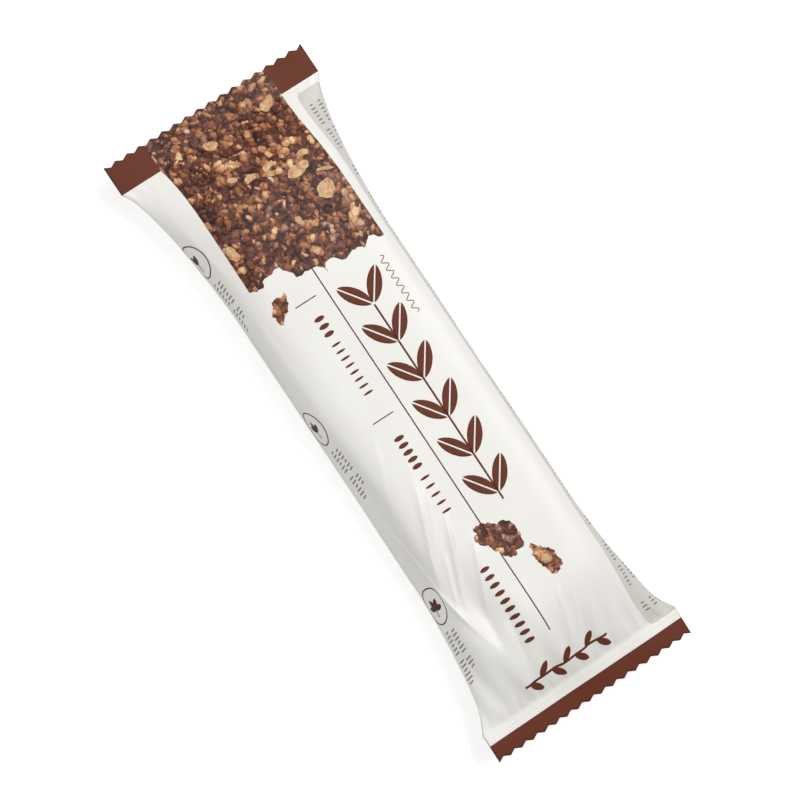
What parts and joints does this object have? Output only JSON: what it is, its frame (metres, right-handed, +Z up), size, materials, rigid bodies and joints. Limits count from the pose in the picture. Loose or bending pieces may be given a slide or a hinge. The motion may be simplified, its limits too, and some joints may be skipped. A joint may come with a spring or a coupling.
{
  "type": "wrapped snack bar",
  "caption": "Shut flow-wrap pack of an oat snack bar, lying face up, with zigzag-cut end seals and a folded seal along its back.",
  "frame": {"origin": "on the table under the middle of the pack", "axes": "+Z up out of the printed front, +Y along the pack to its top seal, +X across it to the right"},
  "size_m": [0.05, 0.149, 0.0154],
  "materials": {
    "film": "satin white printed film, with brown end bands and a picture of toasted oats"
  },
  "bodies": {
    "root": {"wrapped_bar": "film"}
  },
  "joints": []
}
